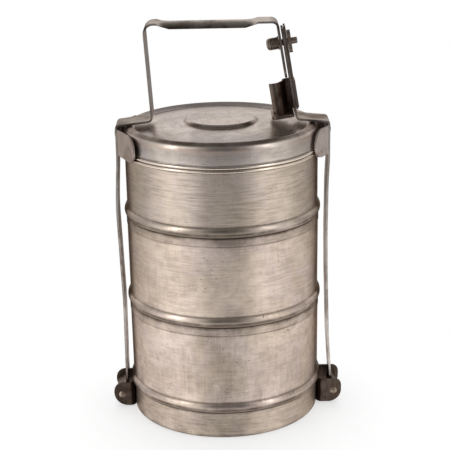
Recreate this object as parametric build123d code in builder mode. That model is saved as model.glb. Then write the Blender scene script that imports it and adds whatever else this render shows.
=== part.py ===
from build123d import *
from math import acos, atan2, cos, degrees, radians, sin, sqrt, tan
import os

# Three-tier tiffin carrier. Millimetres, +Z up. The origin is the middle of the base ring's
# underside. The carrying frame stands in the XZ plane: its left arm at -X carries the grip,
# its right arm at +X carries the latch.

# ---------------------------------------------------------------- driving dimensions

# the stack: heights of the faces that the tiers rest on, from the table up
base_seat = 19.5
low_seat = 85.0
high_seat = 151.0
lid_seat = 199.7
lid_top = 217.2

wall_r = 70.2  # outside of a bowl's wall just under its rim
wall_draw = 0.35  # how much smaller the wall is at its foot
sheet = 0.9  # thickness of the bowls' metal
nest_depth = 5.0  # how far a tier drops into the one below
nest_gap = 0.4
bead_height = 8.0
bead_bulge = 2.0
hem_height = 6.0
hem_step = 0.35
edge_bead = 2.7  # rolled edge of the top bowl, and about that of the lid

boss_r = 24.4  # raised disc in the middle of the lid
lid_rim_r = 65.1  # crest of the lid's raised rim

ring_r = 69.3
ring_sheet = 1.0
curl_r = 1.2

# the carrying frame
strap_width = 22.0
strap = 1.5  # thickness of the strap metal
left_pivot_x = 78.6
right_pivot_x = 81.6
pivot_z = 10.0
pivot_r = 1.9  # hinge pin
running_gap = 0.06
bracket_z = (1.0, 19.5)
bracket_sheet = 1.5
ear_y = 13.2  # middle of an ear's thickness
left_ear_tip = 84.8
right_ear_tip = 87.4
left_leg_x = 74.95  # strap's middle plane beside the lid
right_leg_x = 77.5
shoulder_z = 218.3  # strap's middle plane at the outer corner of a shoulder

rivet_z = 210.5  # rivets that hold the saddles
rivet_r = 1.6
rivet_head_r = 3.9
rivet_head = 1.3

grip_z = 289.9
grip_bow = 3.6  # how far the grip's long edges are rolled down

# the latch, on the leaning upright of the right arm
right_foot = (54.3, 221.0)  # middle plane of the upright where it leaves the shoulder
right_tip = (44.35, 285.0)
lock_z = 274.2  # height of the lock pin where it crosses the upright
lock_pin_r = 2.3
tongue_sheet = 1.2
tongue_width = 18.0
button_size = (16.4, 5.4)
fork_slot = 6.4
latch_travel = 19.0

# ---------------------------------------------------------------- derived geometry

lean = atan2(right_foot[0] - right_tip[0], right_tip[1] - right_foot[1])
lock_x = right_foot[0] - (lock_z - right_foot[1]) * tan(lean)
across = Vector(cos(lean), 0, sin(lean))  # square to the right upright, pointing outwards
along = Vector(-sin(lean), 0, cos(lean))  # up the right upright
lock_centre = Vector(lock_x, 0, lock_z)
lock_axis = Axis(lock_centre, across)
face_plane = Plane(origin=lock_centre, x_dir=(0, 1, 0), z_dir=across)
side_plane = Plane(origin=lock_centre, x_dir=across, z_dir=(0, -1, 0))
plan_plane = Plane(origin=lock_centre, x_dir=across, z_dir=along)

eye_r = pivot_r + running_gap
eye_mid_r = eye_r + strap / 2
wall_bore = wall_r - sheet
plug_r = wall_bore - nest_gap

os.makedirs("parts", exist_ok=True)


def write(part, name):
    part.label = name
    export_step(part, f"parts/{name}.step")


def dome(edge, crown):
    """Arc of a dome's half section, from its edge to its crown on the axis, both (x, y) points.

    The axis is the line y = 0 when the crown's y is 0, and x = 0 when its x is 0."""
    reach = edge[1] if crown[1] == 0 else edge[0]
    rise = abs(crown[0] - edge[0]) if crown[1] == 0 else abs(crown[1] - edge[1])
    radius = (reach**2 + rise**2) / (2 * rise)
    chord = Vector(*crown) - Vector(*edge)
    if crown[1] == 0:
        centre = Vector(crown[0] - radius * (1 if crown[0] > edge[0] else -1), 0)
    else:
        centre = Vector(0, crown[1] - radius * (1 if crown[1] > edge[1] else -1))
    middle = Vector(*edge) + chord / 2
    return ThreePointArc(edge, centre + (middle - centre).normalized() * radius, crown)


# ---------------------------------------------------------------- the tiers


def bowl_section(seat, rim, foot_r, rolled_edge):
    """Half section of a bowl: nested foot, bead that carries it, wall, and hem or rolled edge."""
    foot_bore = foot_r - sheet
    foot = seat - nest_depth
    wall_foot_r = wall_r - wall_draw
    bead_top = seat + bead_height
    with BuildSketch() as section:
        with BuildLine():
            Line((0, foot + sheet), (0, foot))
            FilletPolyline(
                (0, foot), (foot_r, foot), (foot_r, seat), (wall_foot_r, seat), radius=[3, 0]
            )
            ThreePointArc(
                (wall_foot_r, seat),
                (wall_foot_r + bead_bulge, seat + bead_height / 2),
                (wall_foot_r, bead_top),
            )
            if rolled_edge:
                Line((wall_foot_r, bead_top), (wall_r - 0.2, rim - edge_bead))
                ThreePointArc(
                    (wall_r - 0.2, rim - edge_bead),
                    (wall_r + 0.8, rim - edge_bead / 2),
                    (wall_r - 0.3, rim),
                )
            else:
                hem_r = wall_r + hem_step
                Polyline(
                    (wall_foot_r, bead_top),
                    (wall_r, rim - hem_height),
                    (hem_r, rim - hem_height + 0.4),
                    (hem_r, rim - 0.5),
                    (wall_r - 0.1, rim),
                )
            start = (wall_r - 0.3, rim) if rolled_edge else (wall_r - 0.1, rim)
            Polyline(
                start,
                (wall_bore + 0.2, rim),
                (wall_bore, rim - 0.3),
                (wall_bore - wall_draw, bead_top),
            )
            ThreePointArc(
                (wall_bore - wall_draw, bead_top),
                (wall_bore + bead_bulge - wall_draw - 0.1, seat + bead_height * 0.52),
                (foot_bore, seat + 0.6),
            )
            FilletPolyline(
                (foot_bore, seat + 0.6), (foot_bore, foot + sheet), (0, foot + sheet), radius=2.1
            )
        make_face()
    return section.sketch_local


with BuildPart() as bottom_bowl:
    with BuildSketch(Plane.XZ):
        add(bowl_section(base_seat, low_seat, ring_r - ring_sheet - 0.05, rolled_edge=False))
    revolve(axis=Axis.Z)

with BuildPart() as middle_bowl:
    with BuildSketch(Plane.XZ):
        add(bowl_section(low_seat, high_seat, plug_r, rolled_edge=False))
    revolve(axis=Axis.Z)

with BuildPart() as top_bowl:
    with BuildSketch(Plane.XZ):
        add(bowl_section(high_seat, lid_seat, plug_r, rolled_edge=True))
    revolve(axis=Axis.Z)

# The foot ring: a plain band with its lower edge curled inwards, flat where it stands.
with BuildPart() as base_ring:
    with BuildSketch(Plane.XZ):
        with Locations((ring_r - ring_sheet / 2, (base_seat + curl_r) / 2)):
            Rectangle(ring_sheet, base_seat - curl_r)
        with Locations((ring_r - curl_r, curl_r - 0.15)):
            Circle(curl_r)
        with Locations((ring_r, -5)):
            Rectangle(20, 10, mode=Mode.SUBTRACT)
    revolve(axis=Axis.Z)
    chamfer(base_ring.edges().group_by(Axis.Z)[-1].sort_by(SortBy.RADIUS)[-1], 0.4)

# The lid: a shallow pan turned over, with a rolled edge that rests on the top bowl's, a skirt
# nested inside the bowl, a round shoulder up to a raised rim, a crowned plate and a raised disc.
skirt_r = wall_r - 0.1
shoulder_r = skirt_r - lid_rim_r
rim_top = lid_top + 0.65
plate_foot = (lid_rim_r - 3.1, lid_top - 1.7)
plate_head = (boss_r + 2.5, lid_top + 0.8)
boss_edge = (boss_r, lid_top + 3.2)
boss_top = lid_top + 3.6
with BuildPart() as lid:
    with BuildSketch(Plane.XZ):
        with BuildLine():
            Polyline((plug_r, lid_seat - nest_depth), (plug_r, lid_seat), (skirt_r - 0.2, lid_seat))
            ThreePointArc(
                (skirt_r - 0.2, lid_seat), (skirt_r + 0.9, lid_seat + 1.25), (skirt_r, lid_seat + 2.5)
            )
            Line((skirt_r, lid_seat + 2.5), (skirt_r, rim_top - shoulder_r))
            RadiusArc((skirt_r, rim_top - shoulder_r), (lid_rim_r, rim_top), -shoulder_r)
            ThreePointArc((lid_rim_r, rim_top), (lid_rim_r - 1.4, rim_top - 0.7), plate_foot)
            ThreePointArc(plate_foot, (43, lid_top + 0.05), plate_head)
            Line(plate_head, boss_edge)
            dome(boss_edge, (0, boss_top))
            Line((0, boss_top), (0, boss_top - sheet))
            dome((boss_r - 0.4, boss_edge[1] - sheet), (0, boss_top - sheet))
            Line((boss_r - 0.4, boss_edge[1] - sheet), (boss_r + 2.1, plate_head[1] - sheet))
            ThreePointArc(
                (boss_r + 2.1, plate_head[1] - sheet),
                (43, lid_top + 0.05 - sheet),
                (plate_foot[0] + 0.4, plate_foot[1] - sheet),
            )
            ThreePointArc(
                (plate_foot[0] + 0.4, plate_foot[1] - sheet),
                (lid_rim_r - 1.15, rim_top - 1.6),
                (lid_rim_r, rim_top - sheet),
            )
            RadiusArc(
                (lid_rim_r, rim_top - sheet),
                (skirt_r - sheet, rim_top - shoulder_r),
                shoulder_r - sheet,
            )
            Polyline(
                (skirt_r - sheet, rim_top - shoulder_r),
                (skirt_r - sheet, lid_seat + 2.2),
                (plug_r - sheet, lid_seat + 0.8),
                (plug_r - sheet, lid_seat - nest_depth),
                (plug_r, lid_seat - nest_depth),
            )
        make_face()
    revolve(axis=Axis.Z)

# ---------------------------------------------------------------- hinge brackets and pins

# A bracket is one strip bent to a U: its back follows the foot ring, its ears hold the pin.
back_r = ring_r + bracket_sheet / 2
bend_r = 3.4
bend_y = ear_y - bend_r
bend_x = sqrt((back_r + bend_r) ** 2 - bend_y**2)
bend_angle = degrees(atan2(bend_y, bend_x))
ear_end = right_ear_tip + 1
bracket_height = bracket_z[1] - bracket_z[0]
bracket_mid = (bracket_z[0] + bracket_z[1]) / 2


def bracket_plan():
    """The U strip on the +X side, seen from above."""
    with BuildSketch() as section:
        with BuildLine():
            Line((ear_end, -ear_y), (bend_x, -ear_y))
            CenterArc((bend_x, -bend_y), bend_r, -90, -90 - bend_angle)
            CenterArc((0, 0), back_r, -bend_angle, 2 * bend_angle)
            CenterArc((bend_x, bend_y), bend_r, 180 + bend_angle, -90 - bend_angle)
            Line((bend_x, ear_y), (ear_end, ear_y))
        trace(line_width=bracket_sheet)
    return section.sketch_local


def ear_outline(tip_x, top_r, bottom_r):
    """What is left of the ears, seen from the front, on the +X side."""
    with BuildSketch() as section:
        with BuildLine():
            FilletPolyline(
                (60, bracket_z[1]),
                (tip_x, bracket_z[1]),
                (tip_x, bracket_z[0]),
                (60, bracket_z[0]),
                radius=[top_r, bottom_r],
            )
            Line((60, bracket_z[0]), (60, bracket_z[1]))
        make_face()
    return section.sketch_local


with BuildPart() as right_bracket:
    with BuildSketch(Plane.XY.offset(bracket_z[0])):
        add(bracket_plan())
    extrude(amount=bracket_height)
    with BuildSketch(Plane.XZ):
        add(ear_outline(right_ear_tip, 5.0, 10.0))
    extrude(amount=30, both=True, mode=Mode.INTERSECT)
    with BuildSketch(Plane.XZ):
        with Locations((right_pivot_x, pivot_z)):
            Circle(pivot_r + 0.02)
    extrude(amount=30, both=True, mode=Mode.SUBTRACT)

with BuildPart() as left_bracket:
    with BuildSketch(Plane.XY.offset(bracket_z[0])):
        add(bracket_plan())
    extrude(amount=bracket_height)
    with BuildSketch(Plane.XZ):
        add(ear_outline(left_ear_tip, 7.0, 10.5))
    extrude(amount=30, both=True, mode=Mode.INTERSECT)
    with BuildSketch(Plane.XZ):
        with Locations((left_pivot_x, pivot_z)):
            Circle(pivot_r + 0.02)
    extrude(amount=30, both=True, mode=Mode.SUBTRACT)
    mirror(about=Plane.YZ, mode=Mode.REPLACE)

# A hinge pin is a rod through both ears, hammered over to a low dome at each end.
ear_face = ear_y + bracket_sheet / 2
pin_head_r = 2.6
pin_head = 1.0


def hinge_pin_section():
    """Half section of a pin along its axis, in the plane's own X (along) and Y (radius)."""
    with BuildSketch() as section:
        with BuildLine():
            Polyline(
                (-ear_face - pin_head, 0),
                (ear_face + pin_head, 0),
            )
            dome((ear_face + 0.15, pin_head_r), (ear_face + pin_head, 0))
            Polyline(
                (ear_face + 0.15, pin_head_r),
                (ear_face, pin_head_r),
                (ear_face, pivot_r),
                (-ear_face, pivot_r),
                (-ear_face, pin_head_r),
                (-ear_face - 0.15, pin_head_r),
            )
            dome((-ear_face - 0.15, pin_head_r), (-ear_face - pin_head, 0))
        make_face()
    return section.sketch_local


with BuildPart() as left_hinge_pin:
    with BuildSketch(Plane(origin=(-left_pivot_x, 0, pivot_z), x_dir=(0, 1, 0), z_dir=(1, 0, 0))):
        add(hinge_pin_section())
    revolve(axis=Axis((-left_pivot_x, 0, pivot_z), (0, 1, 0)))

with BuildPart() as right_hinge_pin:
    with BuildSketch(Plane(origin=(right_pivot_x, 0, pivot_z), x_dir=(0, 1, 0), z_dir=(1, 0, 0))):
        add(hinge_pin_section())
    revolve(axis=Axis((right_pivot_x, 0, pivot_z), (0, 1, 0)))

# ---------------------------------------------------------------- the arms of the frame

# Each arm is one flat strap: an eye rolled over the top of the pin, a long bowed leg beside the
# tiers, a shoulder over the lid's rim, and an upright. The left one runs on into the grip.
left_rise = radians(35)  # slope of the strap where it comes off the left eye
right_rise = radians(60)
left_wrap_r = eye_mid_r + strap - 0.02  # the left eye is rolled twice


def eye_start(side, pivot_x, radius, rise):
    """Where the strap leaves its eye, over the top on the outer side."""
    return (side * (pivot_x + radius * sin(rise)), pivot_z + radius * cos(rise))


grip_start = -44.0
grip_end = 27.5
grip_blend = 9.0
tail_across = -2.65  # middle of the grip's hooked end, from the middle of the right upright
tail_tip = -24.5  # its end, measured along the upright from the lock pin


def beside_upright(distance, height):
    """Point in the frame's plane, at a distance across and a height along the right upright."""
    point = lock_centre + across * distance + along * height
    return (point.X, point.Z)


tail_top = (grip_z - lock_z - tail_across * sin(lean)) / cos(lean)
left_eye_start = eye_start(-1, left_pivot_x, left_wrap_r, left_rise)
left_path = [
    left_eye_start,
    (-75.0, left_eye_start[1] + (-75.0 - left_eye_start[0]) * tan(left_rise)),
    (-74.7, 85),
    (-77.0, 158),
    (-left_leg_x, 193),
    (-left_leg_x, shoulder_z - 0.6),
    (-49.0, shoulder_z + 2.6),
    (-53.1, grip_z),
    beside_upright(tail_across, tail_top),
    beside_upright(tail_across, tail_tip),
]


def grip_section(bow):
    """The grip's cross-section, flat when bow is 0 and an arch when it is larger."""
    half = strap_width / 2 - bow * 0.25
    inner = half - bow * 0.33
    top = grip_z + strap / 2
    under = top - strap
    with BuildSketch() as section:
        with BuildLine():
            Bezier(
                (-half, top - bow),
                (-half * 0.55, top + bow / 3),
                (half * 0.55, top + bow / 3),
                (half, top - bow),
            )
            Line((half, top - bow), (inner, under - bow * 0.86))
            Bezier(
                (inner, under - bow * 0.86),
                (inner * 0.55, under + bow * 0.286),
                (-inner * 0.55, under + bow * 0.286),
                (-inner, under - bow * 0.86),
            )
            Line((-inner, under - bow * 0.86), (-half, top - bow))
        make_face()
    return section.sketch_local


with BuildPart() as left_arm:
    with BuildSketch(Plane.XZ):
        with BuildLine():
            CenterArc((-left_pivot_x, pivot_z), left_wrap_r, 90 + degrees(left_rise), 80)
            FilletPolyline(*left_path, radius=[3, 200, 250, 200, 1.9, 3.2, 6.5, 4.5])
        trace(line_width=strap)
        with Locations((-left_pivot_x, pivot_z)):
            Circle(eye_r + strap)
    extrude(amount=strap_width / 2, both=True)
    with BuildSketch(Plane.XZ):
        with Locations((-left_pivot_x, pivot_z)):
            Circle(eye_r)
    extrude(amount=strap_width, both=True, mode=Mode.SUBTRACT)
    with BuildSketch(Plane.YZ):
        with Locations((0, rivet_z)):
            Circle(rivet_r + 0.02)
    extrude(amount=-90, mode=Mode.SUBTRACT)
    # the flat bar gives way to the arched grip
    with Locations(((grip_start + grip_end) / 2, 0, grip_z)):
        Box(grip_end - grip_start, strap_width + 2, strap + 2, mode=Mode.SUBTRACT)
    for x, bow in (
        (grip_start, 0),
        (grip_start + grip_blend, grip_bow),
        (grip_end - grip_blend, grip_bow),
        (grip_end, 0),
    ):
        with BuildSketch(Plane(origin=(x, 0, 0), x_dir=(0, 1, 0), z_dir=(1, 0, 0))):
            add(grip_section(bow))
    loft(ruled=True)
    # rounded tip of the end that hooks down beside the right upright
    tip_edges = left_arm.edges().filter_by(lambda e: e.center().X > 43 and e.center().Z < 251.5)
    fillet(tip_edges.filter_by(lambda e: abs(abs(e.center().Y) - strap_width / 2) < 0.01), 6)
    # hole for the lock pin
    with BuildSketch(face_plane.offset(-6)):
        Circle(lock_pin_r + running_gap)
    extrude(amount=5, mode=Mode.SUBTRACT)

right_path = [
    eye_start(1, right_pivot_x, eye_mid_r, right_rise),
    (79.4, 20.4),
    (77.5, 52),
    (76.3, 100),
    (76.0, 135),
    (76.6, 175),
    (right_leg_x, 190.8),
    (right_leg_x, shoulder_z - 0.2),
    (right_foot[0] + 0.2, shoulder_z + 2.1),
    right_tip,
]
fork_foot = -10.0  # bottom of the upright's fork, measured along it from the lock pin
tip_along = (Vector(right_tip[0], 0, right_tip[1]) - lock_centre).dot(along)


def fork_cut(foot, width):
    """A slot that is round at its foot and open at the top, in face_plane's coordinates."""
    with BuildSketch() as slot:
        with Locations((0, foot + width / 2)):
            Circle(width / 2)
        with Locations((0, foot + width / 2)):
            Rectangle(width, 60, align=(Align.CENTER, Align.MIN))
    return slot.sketch_local


with BuildPart() as right_arm:
    with BuildSketch(Plane.XZ):
        with BuildLine():
            FilletPolyline(*right_path, radius=[9, 200, 200, 200, 300, 150, 1.9, 3.2])
        trace(line_width=strap)
        with Locations((right_pivot_x, pivot_z)):
            Circle(eye_r + strap)
    extrude(amount=strap_width / 2, both=True)
    with BuildSketch(Plane.XZ):
        with Locations((right_pivot_x, pivot_z)):
            Circle(eye_r)
    extrude(amount=strap_width, both=True, mode=Mode.SUBTRACT)
    with BuildSketch(Plane.YZ):
        with Locations((0, rivet_z)):
            Circle(rivet_r + 0.02)
    extrude(amount=90, mode=Mode.SUBTRACT)
    # fork and rounded corners at the top
    with BuildSketch(face_plane):
        with Locations((0, tip_along)):
            Rectangle(strap_width + 2, 14)
        with Locations((0, tip_along - 10)):
            RectangleRounded(strap_width, 20, 3.5, mode=Mode.SUBTRACT)
        add(fork_cut(fork_foot, fork_slot))
    extrude(amount=3, both=True, mode=Mode.SUBTRACT)

# ---------------------------------------------------------------- saddles

# A saddle is a plate riveted inside each leg, its two wings bent round the lid's skirt.
saddle_sheet = 1.1
saddle_top = 215.6
wing_clear = 72.05  # distance of a wing's middle plane from the stack's axis


def saddle_plan(outer_x, half_width):
    """The bent plate from above, on the +X side: a flat middle and two wings."""
    middle_x = outer_x - saddle_sheet / 2
    corner_y = strap_width / 2 + 0.6
    corner_r = sqrt(middle_x**2 + corner_y**2)
    wing_angle = atan2(corner_y, middle_x) + acos(wing_clear / corner_r)
    reach = half_width + 5 - corner_y
    tip = (middle_x - reach * tan(wing_angle), half_width + 5)
    with BuildSketch() as section:
        with BuildLine():
            FilletPolyline(
                (tip[0], -tip[1]),
                (middle_x, -corner_y),
                (middle_x, corner_y),
                tip,
                radius=1.6,
            )
        trace(line_width=saddle_sheet)
    return section.sketch_local


def saddle_outline(half_width, low, high, low_r, high_r):
    """The plate's outline seen from the side, in Y and Z."""
    with BuildSketch() as section:
        with BuildLine():
            FilletPolyline(
                (-half_width, low),
                (half_width, low),
                (half_width, high),
                (-half_width, high),
                radius=[low_r, high_r, high_r, low_r],
                close=True,
            )
        make_face()
    return section.sketch_local


left_inner_x = left_leg_x - strap / 2
right_inner_x = right_leg_x - strap / 2

with BuildPart() as left_saddle:
    with BuildSketch(Plane.XY.offset(190)):
        add(saddle_plan(left_inner_x, 41.0))
    extrude(amount=30)
    with BuildSketch(Plane.YZ):
        add(saddle_outline(41.0, 196.6, saddle_top, 9.0, 8.0))
    extrude(amount=90, mode=Mode.INTERSECT)
    with BuildSketch(Plane.YZ):
        with Locations((0, rivet_z)):
            Circle(rivet_r + 0.02)
    extrude(amount=90, mode=Mode.SUBTRACT)
    mirror(about=Plane.YZ, mode=Mode.REPLACE)

with BuildPart() as right_saddle:
    with BuildSketch(Plane.XY.offset(190)):
        add(saddle_plan(right_inner_x, 29.0))
    extrude(amount=30)
    with BuildSketch(Plane.YZ):
        add(saddle_outline(29.0, 194.8, saddle_top, 9.0, 7.0))
    extrude(amount=90, mode=Mode.INTERSECT)
    with BuildSketch(Plane.YZ):
        with Locations((0, rivet_z)):
            Circle(rivet_r + 0.02)
    extrude(amount=90, mode=Mode.SUBTRACT)


def rivet_section(inner_x):
    """Half section of a saddle rivet, along X: low inner head, shank, domed outer head."""
    outer_x = inner_x + strap
    back_x = inner_x - saddle_sheet
    with BuildSketch() as section:
        with BuildLine():
            Polyline(
                (outer_x + rivet_head, 0),
                (back_x - 0.7, 0),
                (back_x - 0.7, 2.6),
                (back_x, 3.0),
                (back_x, rivet_r),
                (outer_x, rivet_r),
                (outer_x, rivet_head_r),
                (outer_x + 0.15, rivet_head_r),
            )
            dome((outer_x + 0.15, rivet_head_r), (outer_x + rivet_head, 0))
        make_face()
    return section.sketch_local


with BuildPart() as right_saddle_rivet:
    with BuildSketch(Plane(origin=(0, 0, rivet_z), x_dir=(1, 0, 0), z_dir=(0, -1, 0))):
        add(rivet_section(right_inner_x))
    revolve(axis=Axis((0, 0, rivet_z), (1, 0, 0)))

with BuildPart() as left_saddle_rivet:
    with BuildSketch(Plane(origin=(0, 0, rivet_z), x_dir=(1, 0, 0), z_dir=(0, -1, 0))):
        add(rivet_section(left_inner_x))
    revolve(axis=Axis((0, 0, rivet_z), (1, 0, 0)))
    mirror(about=Plane.YZ, mode=Mode.REPLACE)

# ---------------------------------------------------------------- the latch

# Distances below are measured from the middle plane of the right upright (across) and from
# the lock pin (along). The tongue lies outside the upright, with a fork that straddles the
# pin. The thumb catch is a sheet soldered to the tongue: it is bent round the upright's rear
# edge, comes back beside the grip's hooked end, and curls away into a rounded front.
tongue_in = 1.1
tongue_out = tongue_in + tongue_sheet
tongue_foot = -48.0
tongue_head = 12.35
catch_sheet = 1.0
catch_foot = -51.2
catch_head = -28.3
catch_back_y = strap_width / 2 + 0.6 + catch_sheet / 2
catch_side = -5.0  # middle of the sheet where it comes back beside the hooked end
catch_rim = -15.4  # its free edge
floor_sheet = 1.5
floor_left = -17.4
floor_right = -1.35
floor_front = -12.3

with BuildPart() as latch_tongue:
    with BuildSketch(face_plane.offset(tongue_in)):
        with BuildLine():
            half = tongue_width / 2
            FilletPolyline(
                (-half, tongue_foot),
                (half, tongue_foot),
                (half, tongue_head),
                (-half, tongue_head),
                radius=[2.0, 5.0, 5.0, 2.0],
                close=True,
            )
        make_face()
        add(fork_cut(-latch_travel - lock_pin_r - 0.8, fork_slot), mode=Mode.SUBTRACT)
    extrude(amount=tongue_sheet)

with BuildPart() as thumb_catch:
    with BuildSketch(plan_plane.offset(catch_foot)):
        with BuildLine():
            FilletPolyline(
                (tongue_out + catch_sheet / 2, -1.0),
                (tongue_out + catch_sheet / 2, catch_back_y),
                (catch_side, catch_back_y),
                (catch_side - 0.3, 8.5),
                radius=1.6,
            )
            Bezier((catch_side - 0.3, 8.5), (catch_side - 0.75, 3.0), (-10.6, -2.3), (catch_rim, 1.6))
        trace(line_width=catch_sheet)
    extrude(amount=catch_head - catch_foot)
    # the leg on the tongue stops short of the shoulder
    with BuildSketch(plan_plane.offset(catch_foot)):
        with Locations((tongue_out + catch_sheet, 4.0)):
            Rectangle(4, 14)
    extrude(amount=tongue_foot - catch_foot, mode=Mode.SUBTRACT)
    # floor that the thumb presses on, inside the upright
    with BuildSketch(plan_plane.offset(catch_foot - floor_sheet + 0.6)):
        with BuildLine():
            FilletPolyline(
                (floor_right, floor_front),
                (floor_right, catch_back_y + catch_sheet / 2),
                (floor_left, catch_back_y + catch_sheet / 2),
                (floor_left, floor_front),
                radius=[0.6, 6.0, 5.0, 3.95],
                close=True,
            )
        make_face()
    extrude(amount=floor_sheet)
    # its free edges are turned up to a low rim
    with BuildSketch(plan_plane.offset(catch_foot)):
        with BuildLine():
            FilletPolyline(
                (floor_right - 1.2, floor_front + 0.45),
                (floor_left + 0.45, floor_front + 0.45),
                (floor_left + 0.45, catch_back_y - 3.0),
                radius=3.5,
            )
        trace(line_width=0.9)
    extrude(amount=1.5)

lock_pin_inner = 11.0
lock_pin_outer = 9.4
with BuildPart() as lock_pin:
    with BuildSketch(face_plane.offset(-lock_pin_inner)):
        Circle(lock_pin_r)
    extrude(amount=lock_pin_inner + lock_pin_outer)
    chamfer(lock_pin.faces().sort_by(lock_axis)[-1].edges(), 0.4)

# The barrel knob: a flared base, turned ridges and a blunt end, bored for the pin.
knob_base = -3.75
knob_end = -12.8
knob_r = 4.35
ridge_pitch = 1.15
with BuildPart() as lock_knob:
    with BuildSketch(side_plane):
        with BuildLine():
            edge = [(knob_base, 0), (knob_base, knob_r + 0.55), (knob_base - 0.7, knob_r + 0.55)]
            station = knob_base - 1.2
            edge.append((station, knob_r - 0.35))
            for ridge in range(5):
                edge.append((station - 0.25, knob_r))
                edge.append((station - 0.85, knob_r))
                edge.append((station - ridge_pitch, knob_r - 0.35))
                station -= ridge_pitch
            edge.append((knob_end + 1.4, knob_r - 0.35))
            edge.append((knob_end + 0.5, knob_r - 1.2))
            Polyline(*edge)
            dome(edge[-1], (knob_end, 0))
            Line((knob_end, 0), (knob_base, 0))
        make_face()
    revolve(axis=lock_axis)
    with BuildSketch(face_plane.offset(knob_base)):
        Circle(lock_pin_r + 0.02)
    extrude(amount=-lock_pin_inner - knob_base - 0.05, mode=Mode.SUBTRACT)

button_in = 2.7
button_sheet = 2.4
with BuildPart() as turn_button:
    with BuildSketch(face_plane.offset(button_in)):
        SlotOverall(button_size[0], button_size[1], rotation=90)
        Circle(lock_pin_r + 0.02, mode=Mode.SUBTRACT)
    extrude(amount=button_sheet)

write(base_ring.part, "base_ring")
write(bottom_bowl.part, "bottom_bowl")
write(middle_bowl.part, "middle_bowl")
write(top_bowl.part, "top_bowl")
write(lid.part, "lid")
write(left_bracket.part, "left_bracket")
write(right_bracket.part, "right_bracket")
write(left_hinge_pin.part, "left_hinge_pin")
write(right_hinge_pin.part, "right_hinge_pin")
write(left_arm.part, "left_arm")
write(right_arm.part, "right_arm")
write(left_saddle.part, "left_saddle")
write(right_saddle.part, "right_saddle")
write(left_saddle_rivet.part, "left_saddle_rivet")
write(right_saddle_rivet.part, "right_saddle_rivet")
write(latch_tongue.part, "latch_tongue")
write(thumb_catch.part, "thumb_catch")
write(lock_pin.part, "lock_pin")
write(lock_knob.part, "lock_knob")
write(turn_button.part, "turn_button")
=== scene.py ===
import math

import bpy
from mathutils import Matrix, Vector


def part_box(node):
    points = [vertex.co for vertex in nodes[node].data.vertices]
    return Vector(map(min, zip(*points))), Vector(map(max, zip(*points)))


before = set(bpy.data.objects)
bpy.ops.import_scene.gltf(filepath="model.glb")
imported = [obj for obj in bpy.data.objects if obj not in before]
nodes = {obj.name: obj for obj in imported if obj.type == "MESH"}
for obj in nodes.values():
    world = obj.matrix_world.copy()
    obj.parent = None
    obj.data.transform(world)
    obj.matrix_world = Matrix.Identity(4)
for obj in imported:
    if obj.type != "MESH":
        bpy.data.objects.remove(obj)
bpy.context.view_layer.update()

# ---------------------------------------------------------------- material graph helpers


class Paint:
    """The node tree of a material or a world, with short calls for the nodes that they share."""

    def __init__(self, owner):
        owner.use_nodes = True
        self.tree = owner.node_tree
        self.tree.nodes.clear()

    def node(self, kind, inputs=None, **settings):
        made = self.tree.nodes.new("ShaderNode" + kind)
        for key, value in settings.items():
            setattr(made, key, value)
        for key, value in (inputs or {}).items():
            if isinstance(value, bpy.types.NodeSocket):
                self.tree.links.new(value, made.inputs[key])
            else:
                made.inputs[key].default_value = value
        return made

    def math(self, operation, a, b=0.0, c=0.0):
        return self.node("Math", {0: a, 1: b, 2: c}, operation=operation).outputs[0]

    def add(self, a, b):
        return self.math("ADD", a, b)

    def times(self, a, b):
        return self.math("MULTIPLY", a, b)

    def step(self, value, low, high, start=0.0, end=1.0):
        """Smooth step from start, where value is at most low, to end, where it is at least high."""
        made = self.node(
            "MapRange", {0: value, 1: low, 2: high, 3: start, 4: end}, interpolation_type="SMOOTHSTEP"
        )
        return made.outputs[0]

    def vector(self, x, y, z):
        return self.node("CombineXYZ", {0: x, 1: y, 2: z}).outputs[0]

    def noise(self, vector, scale, detail=3.0, roughness=0.5, distortion=0.0):
        inputs = {
            "Vector": vector,
            "Scale": scale,
            "Detail": detail,
            "Roughness": roughness,
            "Distortion": distortion,
        }
        return self.node("TexNoise", inputs).outputs[0]

    def mix(self, factor, a, b):
        made = self.node("Mix", data_type="RGBA")
        for socket, value in ((made.inputs[0], factor), (made.inputs[6], a), (made.inputs[7], b)):
            if isinstance(value, bpy.types.NodeSocket):
                self.tree.links.new(value, socket)
            elif isinstance(value, float):
                socket.default_value = value
            else:
                socket.default_value = (*value, 1.0)
        return made.outputs[2]

    def bump(self, height, distance, strength=1.0, normal=None):
        inputs = {"Height": height, "Distance": distance, "Strength": strength}
        if normal is not None:
            inputs["Normal"] = normal
        return self.node("Bump", inputs).outputs[0]

    def surface(self, inputs):
        shader = self.node("BsdfPrincipled", inputs)
        self.node("OutputMaterial", {"Surface": shader.outputs[0]})


def shades(colour, share):
    """The colour made darker or lighter, at most white."""
    return tuple(min(1.0, share * c) for c in colour)


def turned_coordinates(paint, seed):
    """Shifted point, cosine and sine of the angle round the axis, way along the turned profile,
    height, and distance from the axis."""
    point = paint.node("TexCoord").outputs["Object"]
    xyz = paint.node("SeparateXYZ", {0: point}).outputs
    above_zero = 1e-9
    y_squared = paint.math("MULTIPLY_ADD", xyz[1], xyz[1], above_zero)
    radius = paint.math("SQRT", paint.add(paint.times(xyz[0], xyz[0]), y_squared))
    cosine = paint.math("DIVIDE", xyz[0], radius)
    sine = paint.math("DIVIDE", xyz[1], radius)
    profile = paint.add(xyz[2], radius)
    shift = (seed, seed * 0.7, -seed)
    shifted = paint.node("VectorMath", {0: point, 1: shift}, operation="ADD").outputs[0]
    return shifted, cosine, sine, profile, xyz[2], radius


def band(paint, value, centre, half_width):
    """1 at centre, falling smoothly to 0 at half_width away."""
    distance = paint.math("ABSOLUTE", paint.add(value, -centre))
    return paint.step(distance, 0.0, half_width, 1.0, 0.0)


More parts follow.
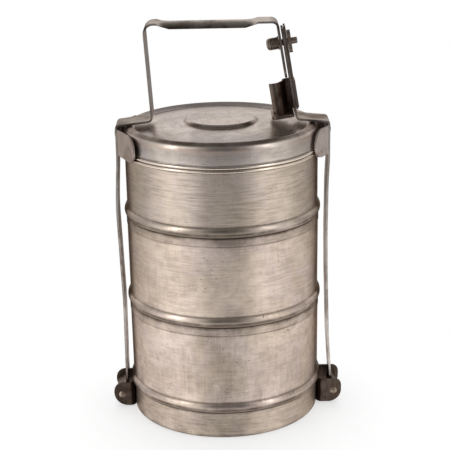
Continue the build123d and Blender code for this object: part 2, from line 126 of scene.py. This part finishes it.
seam_colour = (0.018, 0.012, 0.009)
# colour of bands of dirt and of painted shade
grime_and_shade_colour = (0.115, 0.085, 0.065)
worn_colour = (0.52, 0.36, 0.28)
# lighter colour of a painted highlight on rubbed rolled edges
painted_highlight_colour = (0.93, 0.80, 0.67)
# brown of a tarnished lid rim, also its painted dark reflection
rim_tarnish_and_shade_colour = (0.17, 0.11, 0.083)
# colour of the painted shade round a lid's raised disc
disc_shade_colour = (0.22, 0.15, 0.12)
seam_half_width = 0.0009


def turned_metal(
    name,
    light,
    deep,
    seed,
    roughness=0.30,
    cloud=0.5,
    lines=0.5,
    specks=0.5,
    seams=(),
    grime_and_shade=(),
    worn=(),
    grain=0.55,
    edge=(0.45, 0.40, 0.36),
    rim=None,
    disc=None,
    polish_and_highlight=None,
):
    """Old tinned sheet, turned and brushed round its axis.

    seams are the heights of black joint lines. grime and worn are (height, half width, strength);
    grime holds bands of dirt and bands of painted shade under beads and in creases.
    grain is the stretch of the highlights and edge the tint at glancing angles. rim is the radius
    and the height beyond which a lid's rim is tarnished brown and given a painted dark reflection,
    less so at the back. disc is the radius and the half width of the painted shade round a lid's
    raised disc, which is also a little darker inside. polished is the height and the half width of
    a rolled edge rubbed smoother and painted lighter as a painted highlight."""
    material = bpy.data.materials.new(name)
    paint = Paint(material)
    point, cosine, sine, profile, height, radius = turned_coordinates(paint, seed)

    def streaks(around, along, detail=3.0):
        return paint.noise(
            paint.vector(
                paint.math("MULTIPLY_ADD", cosine, around, seed),
                paint.math("MULTIPLY_ADD", sine, around, -seed),
                paint.times(profile, along),
            ),
            1.0,
            detail,
            0.55,
        )

    broad = paint.noise(point, 17.0, 5.0, 0.62, 0.6)
    patches = paint.noise(point, 46.0, 6.0, 0.66, 0.4)

    # cloudy stains, with a cooler and a warmer tint, dull mottling and bright patches
    stain = paint.add(paint.times(broad, 0.6), paint.times(patches, 0.4))
    stain = paint.step(stain, 0.40, 0.60)
    colour = paint.mix(paint.times(stain, cloud), light, deep)
    tint = paint.step(paint.noise(point, 24.0, 3.0, 0.55, 0.8), 0.42, 0.60)
    cool = (0.97 * light[0], 0.93 * light[1], 0.99 * light[2])
    warm = (1.01 * light[0], 0.98 * light[1], 0.86 * light[2])
    colour = paint.mix(0.35, colour, paint.mix(tint, cool, warm))
    mottle = paint.step(paint.noise(point, 150.0, 4.0, 0.62, 0.3), 0.44, 0.62)
    colour = paint.mix(paint.times(mottle, 0.36 * cloud), colour, shades(deep, 0.72))
    bright = paint.step(patches, 0.56, 0.74)
    colour = paint.mix(paint.times(bright, 0.30 * cloud), colour, shades(light, 1.12))

    # brushed lines round the body, and faint marks across them
    coarse_lines = streaks(4.0, 880.0)
    fine_lines = streaks(7.0, 2600.0)
    line_mask = paint.add(paint.times(coarse_lines, 0.55), paint.times(fine_lines, 0.45))
    line_mask = paint.step(line_mask, 0.40, 0.62)
    line_mask = paint.times(line_mask, paint.step(patches, 0.34, 0.60, 0.45, 1.0))
    colour = paint.mix(paint.times(line_mask, 0.66 * lines), colour, shades(deep, 0.50))
    crossing = paint.noise(
        paint.vector(paint.times(cosine, 120.0), paint.times(sine, 120.0), paint.times(profile, 40.0)),
        1.0,
        4.0,
        0.65,
    )
    crossing = paint.times(paint.step(crossing, 0.48, 0.62), paint.step(broad, 0.36, 0.56))
    colour = paint.mix(paint.times(crossing, 0.28 * cloud), colour, shades(deep, 0.55))

    # dark dots and nicks, bands of dirt, and bands of painted shade under beads and in creases
    dots = paint.noise(point, 560.0, 2.0, 0.5)
    nicks = streaks(34.0, 950.0, 1.0)
    dot_zone = paint.step(paint.noise(point, 38.0, 2.0), 0.50, 0.66)
    dark = paint.times(paint.step(dots, 0.69, 0.77), dot_zone)
    dark = paint.math("MAXIMUM", dark, paint.times(paint.step(nicks, 0.67, 0.74), dot_zone))
    dark = paint.times(dark, specks)
    patchy = paint.step(patches, 0.30, 0.62, 0.45, 1.0)
    for centre, half_width, strength in grime_and_shade:
        darkening = paint.times(band(paint, height, centre, half_width), patchy)
        dark = paint.math("MAXIMUM", dark, paint.times(darkening, strength))
    colour = paint.mix(dark, colour, grime_and_shade_colour)
    for centre in seams:
        colour = paint.mix(band(paint, height, centre, seam_half_width), colour, seam_colour)

    # worn places, a painted highlight on a rubbed rolled edge, a tarnished rim with a painted dark
    # reflection, and painted shade round a raised disc
    for centre, half_width, strength in worn:
        rub = paint.times(band(paint, height, centre, half_width), paint.step(broad, 0.36, 0.60))
        colour = paint.mix(paint.times(rub, strength), colour, worn_colour)
    if polish_and_highlight:
        # painted highlight: the rolled edge painted lighter, and made smoother below
        polish_and_highlight_band = band(paint, height, *polish_and_highlight)
        colour = paint.mix(paint.times(polish_and_highlight_band, 0.8), colour, painted_highlight_colour)
    if rim:
        rim_radius, rim_height = rim
        # brown tarnish, and a painted dark reflection on the front of the rim that fades towards the
        # back
        tarnish = paint.times(
            paint.step(radius, rim_radius, rim_radius + 0.0010),
            paint.step(height, rim_height - 0.0014, rim_height),
        )
        tarnish = paint.times(tarnish, paint.step(patches, 0.30, 0.60, 0.45, 0.85))
        backward = paint.times(sine, radius)
        tarnish = paint.times(tarnish, paint.step(backward, -0.01, 0.045, 1.0, 0.1))
        colour = paint.mix(tarnish, colour, rim_tarnish_and_shade_colour)
    if disc:
        disc_radius, disc_half_width = disc
        # painted shade round the disc's sloping edge, and the disc a little darker inside
        inside = paint.step(radius, disc_radius - disc_half_width, disc_radius, 0.10, 0.0)
        ring = paint.times(band(paint, radius, *disc), paint.step(patches, 0.30, 0.60, 0.6, 0.9))
        colour = paint.mix(paint.math("MAXIMUM", inside, ring), colour, disc_shade_colour)

    rough = paint.add(paint.times(stain, 0.10), paint.times(line_mask, 0.07))
    rough = paint.add(rough, paint.times(dark, 0.22))
    rough = paint.add(rough, roughness - 0.06)
    if polish_and_highlight:
        rough = paint.math("SUBTRACT", rough, paint.times(polish_and_highlight_band, 0.10))
    normal = paint.bump(paint.noise(point, 15.0, 2.0, 0.4), 0.0006)
    normal = paint.bump(line_mask, 0.00001, 0.6, normal)
    normal = paint.bump(paint.times(dark, -1.0), 0.00012, 0.5, normal)
    paint.surface(
        {
            "Base Color": colour,
            "Metallic": 1.0,
            "Roughness": rough,
            "Anisotropic": grain,
            "Anisotropic Rotation": 0.25,
            "Specular Tint": (*edge, 1.0),
            "Normal": normal,
            "Tangent": paint.node("Tangent", direction_type="RADIAL", axis="Z").outputs[0],
        }
    )
    return material


rust_colour = (0.16, 0.085, 0.045)
tarnish_colour = (0.085, 0.058, 0.042)
aged_colour = (0.105, 0.068, 0.050)
# black of the painted shade inside the brackets
painted_shade_colour = (0.020, 0.013, 0.010)
pit_colour = (0.05, 0.035, 0.028)


def strap_metal(
    name, light, deep, seed, roughness=0.36, rust=0.25, tarnish=(), aged=(), shaded_inside=None
):
    """Old strap steel with a dull skin, its grain drawn out along the height.

    tarnish is (height, half width, strength). aged is (axis, from, to, strength) for whole ends.
    sooted is the distance from the middle plane, and from the stack's axis, within which it is
    painted black as painted shade."""
    material = bpy.data.materials.new(name)
    paint = Paint(material)
    plain_point = paint.node("TexCoord").outputs["Object"]
    shift = (seed, -seed, seed * 0.4)
    point = paint.node("VectorMath", {0: plain_point, 1: shift}, operation="ADD").outputs[0]
    along = (1.0, 1.0, 0.12)
    grain_point = paint.node("VectorMath", {0: point, 1: along}, operation="MULTIPLY").outputs[0]
    grain = paint.noise(grain_point, 900.0, 4.0, 0.6)
    blotch = paint.noise(point, 70.0, 5.0, 0.62, 0.5)
    large = paint.noise(point, 22.0, 3.0, 0.5)
    pits = paint.noise(point, 760.0, 2.0, 0.5)

    worn = paint.step(paint.add(paint.times(blotch, 0.55), paint.times(large, 0.45)), 0.40, 0.62)
    colour = paint.mix(worn, light, deep)
    scuff = paint.step(grain, 0.46, 0.68)
    colour = paint.mix(paint.times(scuff, 0.45), colour, shades(deep, 0.55))
    brown = paint.times(paint.step(blotch, 0.52, 0.70), rust)
    colour = paint.mix(brown, colour, rust_colour)
    xyz = paint.node("SeparateXYZ", {0: plain_point}).outputs
    for centre, half_width, strength in tarnish:
        stain = band(paint, xyz[2], centre, half_width)
        stain = paint.times(stain, paint.step(blotch, 0.30, 0.60, 0.7, 1.0))
        colour = paint.mix(paint.times(stain, strength), colour, tarnish_colour)
    for axis, start, end, strength in aged:
        stain = paint.step(xyz[axis], start, end)
        stain = paint.times(stain, paint.step(blotch, 0.34, 0.62, 0.75, 1.0))
        colour = paint.mix(paint.times(stain, strength), colour, aged_colour)
    # painted shade: black between the ears and round the bend by the stack
    if shaded_inside:
        from_plane, from_axis = shaded_inside
        inside = paint.step(paint.math("ABSOLUTE", xyz[1]), from_plane, from_plane + 0.0004, 1.0, 0.0)
        bend = paint.step(paint.math("ABSOLUTE", xyz[0]), from_axis, from_axis + 0.0016, 1.0, 0.0)
        colour = paint.mix(paint.math("MAXIMUM", inside, bend), colour, painted_shade_colour)
    pitted = paint.times(paint.step(pits, 0.66, 0.74), paint.step(large, 0.42, 0.60))
    colour = paint.mix(paint.times(pitted, 0.7), colour, pit_colour)

    rough = paint.add(paint.times(worn, 0.14), paint.times(scuff, 0.08))
    rough = paint.add(rough, paint.times(brown, 0.25))
    rough = paint.add(rough, roughness - 0.08)
    normal = paint.bump(large, 0.0004)
    normal = paint.bump(grain, 0.00003, 0.5, normal)
    normal = paint.bump(paint.times(pitted, -1.0), 0.0001, 0.6, normal)
    paint.surface(
        {
            "Base Color": colour,
            "Metallic": 1.0,
            "Roughness": rough,
            "Specular Tint": (0.88, 0.81, 0.75, 1.0),
            "Normal": normal,
        }
    )
    return material


# ---------------------------------------------------------------- materials


def edge_heights(node):
    """Lowest and highest height of a node."""
    low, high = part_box(node)
    return low.z, high.z


def paint_node(name, material):
    slots = nodes[name].data.materials
    slots.clear()
    slots.append(material)


# Heights on the tiers. A seat is the rim that a tier stands on: its bead starts there, and its foot
# nests below. A hem is the folded band along the rim of the lower two bowls.
base_low, base_high = edge_heights("base_ring")
bottom_low, _ = edge_heights("bottom_bowl")
middle_low, _ = edge_heights("middle_bowl")
top_low, _ = edge_heights("top_bowl")
lid_low, lid_high = edge_heights("lid")
nest = 0.005
bead = 0.008
hem = 0.006
base_seat = bottom_low + nest
low_seat = middle_low + nest
high_seat = top_low + nest
lid_seat = lid_low + nest


def bead_shade(seat):
    """Painted shade low on a tier's bead, and in the crease along the top of the bead."""
    return (seat + 0.0028, 0.0021, 0.88), (seat + bead, 0.0012, 0.4)


def rim_shade_and_grime(seat, darkening):
    """Painted shade along a tier's rim under the bead above, a dark line at the foot of its hem, and
    dirt smeared over the hem.
    """
    return (seat, 0.004, 0.8), (seat - hem, 0.0012, 0.6), (seat - 0.5 * hem, 0.006, darkening)


tin_light = (0.84, 0.71, 0.62)
tin_deep = (0.58, 0.47, 0.385)
lid_rim_start = (0.0640, lid_high - 0.0044)
lid_disc_edge = (0.0260, 0.0022)
tier_skins = {
    "base_ring": turned_metal(
        "ring_tin",
        (0.72, 0.605, 0.515),
        (0.53, 0.43, 0.357),
        1.7,
        roughness=0.46,
        cloud=0.7,
        lines=0.9,
        specks=0.6,
        seams=(base_high,),
        # darker along the ring's top joint and along its foot
        grime_and_shade=((base_high, 0.0022, 0.5), (base_low, 0.003, 0.6)),
    ),
    "bottom_bowl": turned_metal(
        "bottom_tin",
        tin_light,
        tin_deep,
        4.3,
        roughness=0.36,
        cloud=0.85,
        lines=0.35,
        specks=0.9,
        seams=(base_seat,),
        grime_and_shade=(*bead_shade(base_seat), *rim_shade_and_grime(low_seat, 0.3)),
    ),
    "middle_bowl": turned_metal(
        "middle_tin",
        tin_light,
        tin_deep,
        8.1,
        roughness=0.33,
        cloud=0.6,
        lines=0.55,
        specks=0.8,
        seams=(low_seat,),
        grime_and_shade=(*bead_shade(low_seat), *rim_shade_and_grime(high_seat, 0.45)),
    ),
    "top_bowl": turned_metal(
        "top_tin",
        (0.735, 0.63, 0.545),
        (0.52, 0.43, 0.355),
        12.9,
        roughness=0.30,
        cloud=0.4,
        lines=0.8,
        specks=0.5,
        seams=(high_seat,),
        grime_and_shade=(*bead_shade(high_seat), (lid_seat, 0.0005, 0.6)),
        # the rolled edge under the lid painted lighter as a painted highlight
        polish_and_highlight=(lid_seat - 0.00135, 0.0015),
    ),
    "lid": turned_metal(
        "lid_tin",
        (0.775, 0.695, 0.645),
        (0.58, 0.507, 0.464),
        17.2,
        roughness=0.28,
        cloud=0.5,
        lines=0.6,
        specks=0.7,
        grime_and_shade=(
            (lid_seat, 0.0005, 0.5),
            # painted shade in the groove above the lid's rolled edge
            (lid_seat + 0.0030, 0.0010, 0.75),
            (lid_seat + 0.010, 0.0080, 0.36),
        ),
        worn=((lid_high - 0.0078, 0.003, 0.5),),
        grain=0.0,
        edge=(0.95, 0.90, 0.86),
        # tarnished rim with a painted dark reflection on its front
        rim=lid_rim_start,
        # painted shade round the raised disc
        disc=lid_disc_edge,
        # the lid's rolled edge painted lighter as a painted highlight
        polish_and_highlight=(lid_seat + 0.00125, 0.0014),
    ),
}
for node, material in tier_skins.items():
    paint_node(node, material)

# heights on the straps: shoulder is just over the saddles, and foot fades in down to the ears
x_axis = 0
z_axis = 2
_, saddle_top = edge_heights("right_saddle")
_, grip_top = edge_heights("left_arm")
_, ear_top = edge_heights("left_bracket")
shoulder = saddle_top + 0.0025
foot = (z_axis, ear_top + 0.013, ear_top + 0.002, 0.94)
left_strap = strap_metal(
    "left_strap",
    (0.75, 0.68, 0.628),
    (0.49, 0.427, 0.38),
    2.2,
    tarnish=((shoulder, 0.0060, 0.86), (grip_top - 0.0034, 0.0042, 0.98)),
    aged=(foot, (x_axis, 0.034, 0.041, 0.80)),
)
right_strap = strap_metal(
    "right_strap",
    (0.84, 0.765, 0.71),
    (0.55, 0.48, 0.43),
    5.9,
    tarnish=((shoulder, 0.0060, 0.66),),
    aged=(foot, (z_axis, shoulder + 0.003, shoulder + 0.012, 0.84)),
)
left_wing = strap_metal("left_wing_skin", (0.59, 0.50, 0.445), (0.42, 0.345, 0.30), 9.4, roughness=0.5)
right_wing = strap_metal(
    "right_wing_skin", (0.65, 0.565, 0.518), (0.46, 0.395, 0.355), 11.8, roughness=0.5
)
ear_inner_face = 0.0119
bracket_bend = 0.0712
bracket = strap_metal(
    "bracket_skin",
    (0.150, 0.112, 0.090),
    (0.062, 0.042, 0.031),
    3.8,
    roughness=0.46,
    rust=0.5,
    # the inside between the ears and the bend painted black as painted shade
    shaded_inside=(ear_inner_face, bracket_bend),
)
patina = strap_metal(
    "latch_skin", (0.27, 0.217, 0.182), (0.112, 0.083, 0.064), 6.6, roughness=0.42, rust=0.45
)
turned_brown = strap_metal(
    "knob_skin", (0.51, 0.43, 0.375), (0.28, 0.225, 0.187), 4.9, roughness=0.42, rust=0.3
)
peened = strap_metal(
    "peened_head", (0.58, 0.475, 0.395), (0.35, 0.27, 0.215), 7.3, roughness=0.42, rust=0.3
)

for node, material in (
    ("left_arm", left_strap),
    ("right_arm", right_strap),
    ("left_saddle", left_wing),
    ("right_saddle", right_wing),
    ("left_bracket", bracket),
    ("right_bracket", bracket),
    ("left_hinge_pin", peened),
    ("right_hinge_pin", peened),
    ("left_saddle_rivet", peened),
    ("right_saddle_rivet", peened),
    ("latch_tongue", patina),
    ("thumb_catch", patina),
    ("lock_pin", turned_brown),
    ("lock_knob", turned_brown),
    ("turn_button", turned_brown),
):
    paint_node(node, material)

# ---------------------------------------------------------------- floor and studio light


def plain_mesh(name, corners):
    mesh = bpy.data.meshes.new(name)
    mesh.from_pydata(corners, [], [tuple(range(len(corners)))])
    made = bpy.data.objects.new(name, mesh)
    bpy.context.scene.collection.objects.link(made)
    return made


def floor(size, drop):
    """Pale floor round the object that turns into a white backdrop away from it."""
    material = bpy.data.materials.new("floor_paint")
    paint = Paint(material)
    point = paint.node("TexCoord").outputs["Object"]
    speckle = paint.noise(point, 240.0, 4.0, 0.6)
    colour = paint.mix(paint.step(speckle, 0.3, 0.7), (0.93, 0.93, 0.93), (0.90, 0.90, 0.90))
    shader = paint.node(
        "BsdfPrincipled", {"Base Color": colour, "Roughness": 0.85, "Specular IOR Level": 0.1}
    )
    white = paint.node("Emission", {"Color": (1.0, 1.0, 1.0, 1.0), "Strength": 1.0})
    distance = paint.node("VectorMath", {0: point}, operation="LENGTH").outputs[1]
    blend = paint.node("MixShader", {0: paint.step(distance, 0.07, 0.24, 0.60, 1.0)})
    paint.tree.links.new(shader.outputs[0], blend.inputs[1])
    paint.tree.links.new(white.outputs[0], blend.inputs[2])
    paint.node("OutputMaterial", {"Surface": blend.outputs[0]})
    corners = ((-size, -size, -drop), (size, -size, -drop), (size, size, -drop), (-size, size, -drop))
    made = plain_mesh("floor", corners)
    made.data.materials.append(material)
    # the metals mirror the studio world below, which has its own floor
    made.visible_glossy = False
    made.visible_shadow = False


def softbox(name, place, aim, size, power, mirrored=True):
    data = bpy.data.lights.new(name, "AREA")
    data.shape = "RECTANGLE"
    data.size, data.size_y = size
    data.energy = power
    made = bpy.data.objects.new(name, data)
    bpy.context.scene.collection.objects.link(made)
    made.location = place
    made.rotation_mode = "QUATERNION"
    made.rotation_quaternion = (Vector(aim) - Vector(place)).to_track_quat("-Z", "Y")
    made.visible_camera = False
    made.visible_glossy = mirrored


def studio_world():
    """White to the camera. The object sees a dim room with two bright sides, a bright backdrop, a
    dark ceiling and a pale floor that is in shade right under the object."""
    world = bpy.data.worlds.new("studio")
    bpy.context.scene.world = world
    room = Paint(world)
    direction = room.node("TexCoord").outputs["Generated"]
    xyz = room.node("SeparateXYZ", {0: direction}).outputs
    height = xyz[2]
    level_direction = room.vector(xyz[0], xyz[1], 0.0)
    level_direction = room.node("VectorMath", {0: level_direction}, operation="NORMALIZE").outputs[0]

    def zone(azimuth, half_width, amount):
        """amount towards an azimuth (0 is the front, 90 is +X), falling to 0 at half_width from it."""
        angle = math.radians(azimuth)
        facing = room.node(
            "VectorMath",
            {0: level_direction, 1: (math.sin(angle), -math.cos(angle), 0.0)},
            operation="DOT_PRODUCT",
        ).outputs[1]
        return room.step(facing, math.cos(math.radians(half_width)), 1.0, 0.0, amount)

    def towards(level, other, share):
        """level where share is 0, and other where it is 1."""
        kept = room.times(level, room.math("SUBTRACT", 1.0, share))
        return room.add(kept, room.times(share, other))

    walls = 0.44
    ceiling = 0.22
    sides = room.add(zone(-60.0, 44.0, 0.50), zone(62.0, 42.0, 0.38))
    level = room.add(sides, zone(4.0, 44.0, -0.38))
    level = room.add(level, zone(160.0, 45.0, -0.20))
    level = room.add(level, walls)
    level = towards(level, ceiling, room.step(height, 0.58, 0.90))
    backdrop = room.times(zone(180.0, 88.0, 0.68), band(room, height, 0.27, 0.45))
    level = room.add(level, backdrop)
    lit_floor = room.math("MULTIPLY_ADD", sides, 0.15, 1.08)
    level = towards(level, lit_floor, room.step(height, -0.26, -0.42))
    shade = room.step(height, -0.56, -0.86, 1.0, 0.30)
    level = room.times(level, shade)
    seen = room.node("LightPath").outputs["Is Camera Ray"]
    strength = room.math("MAXIMUM", level, seen)
    shader = room.node("Background", {"Color": (1.0, 1.0, 1.0, 1.0), "Strength": strength})
    room.node("OutputWorld", {"Surface": shader.outputs[0]})


floor(size=20.0, drop=0.0003)
studio_world()
stack_middle = (0.0, 0.0, 0.13)
softbox("left_box", (-0.95, -0.62, 0.52), stack_middle, (0.36, 0.9), 1.6)
softbox("right_box", (0.86, -0.66, 0.52), stack_middle, (0.30, 0.9), 1.3)
softbox("top_box", (0.0, 0.25, 1.5), stack_middle, (1.6, 1.6), 26.0, mirrored=False)

# ---------------------------------------------------------------- camera

camera_place = Vector((0.0, -0.9133, 0.4282))
pitch = 0.3067
yaw = 0.0018
roll = -0.019

forward = Vector((math.sin(yaw) * math.cos(pitch), math.cos(yaw) * math.cos(pitch), -math.sin(pitch)))
level_right = Vector((math.cos(yaw), -math.sin(yaw), 0.0))
level_up = level_right.cross(forward)
image_right = level_right * math.cos(roll) + level_up * math.sin(roll)
image_up = image_right.cross(forward)

camera_data = bpy.data.cameras.new("photo_camera")
camera_data.sensor_width = 36.0
camera_data.lens = 103.52
camera_data.clip_start = 0.01
camera_data.clip_end = 50.0
camera = bpy.data.objects.new("photo_camera", camera_data)
bpy.context.scene.collection.objects.link(camera)
turn = Matrix((image_right, image_up, -forward)).transposed()
camera.matrix_world = Matrix.Translation(camera_place) @ turn.to_4x4()
bpy.context.scene.camera = camera
bpy.context.scene.view_settings.view_transform = "Standard"
